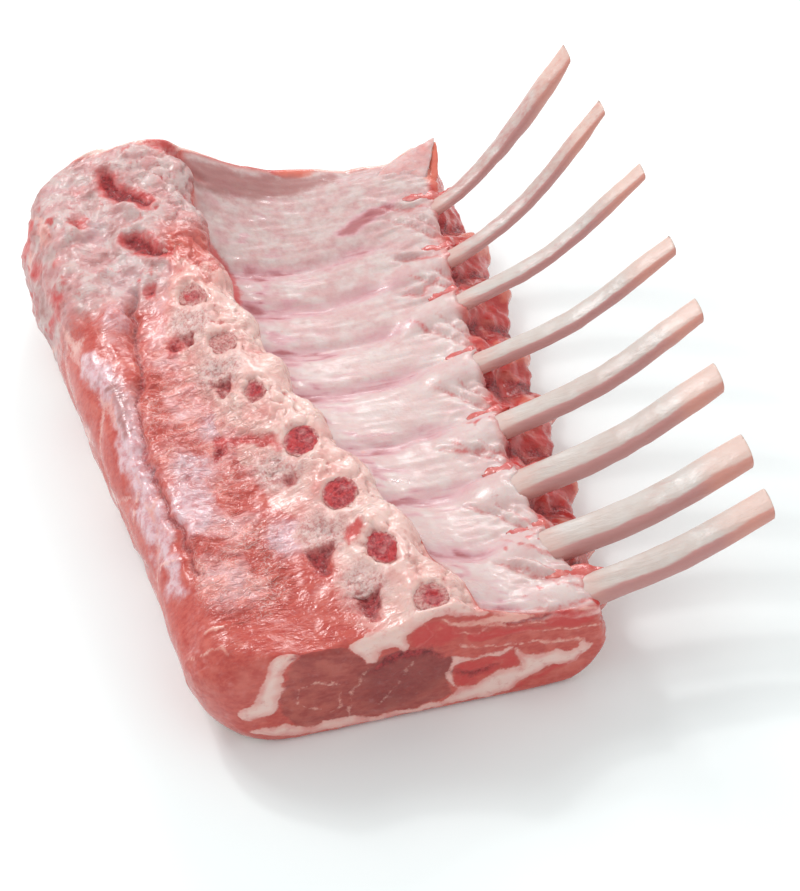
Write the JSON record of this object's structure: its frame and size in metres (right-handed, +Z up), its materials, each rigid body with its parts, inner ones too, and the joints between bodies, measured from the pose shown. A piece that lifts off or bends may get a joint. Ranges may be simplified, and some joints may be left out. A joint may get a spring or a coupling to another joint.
{
  "type": "raw rack of lamb",
  "caption": "Raw frenched rack of lamb lying on its fat side, bare curved rib bones rising from one long edge, sawn vertebrae in a row along the back.",
  "frame": {"origin": "on the flat face that the rack rests on, below the middle of the meat", "axes": "+Y along the back from the loin end to the shoulder end, +X from the back towards the rib tips, +Z up, out of the rib lining"},
  "size_m": [0.2048, 0.2288, 0.0742],
  "materials": {
    "meat": "moist",
    "bone": "satin"
  },
  "bodies": {
    "root": {"meat": "meat", "rib_1": "bone", "rib_2": "bone", "rib_3": "bone", "rib_4": "bone", "rib_5": "bone", "rib_6": "bone", "rib_7": "bone", "rib_8": "bone", "chine_stub_1": "bone", "chine_stub_2": "bone", "chine_stub_3": "bone", "chine_stub_4": "bone", "chine_stub_5": "bone"}
  },
  "joints": []
}
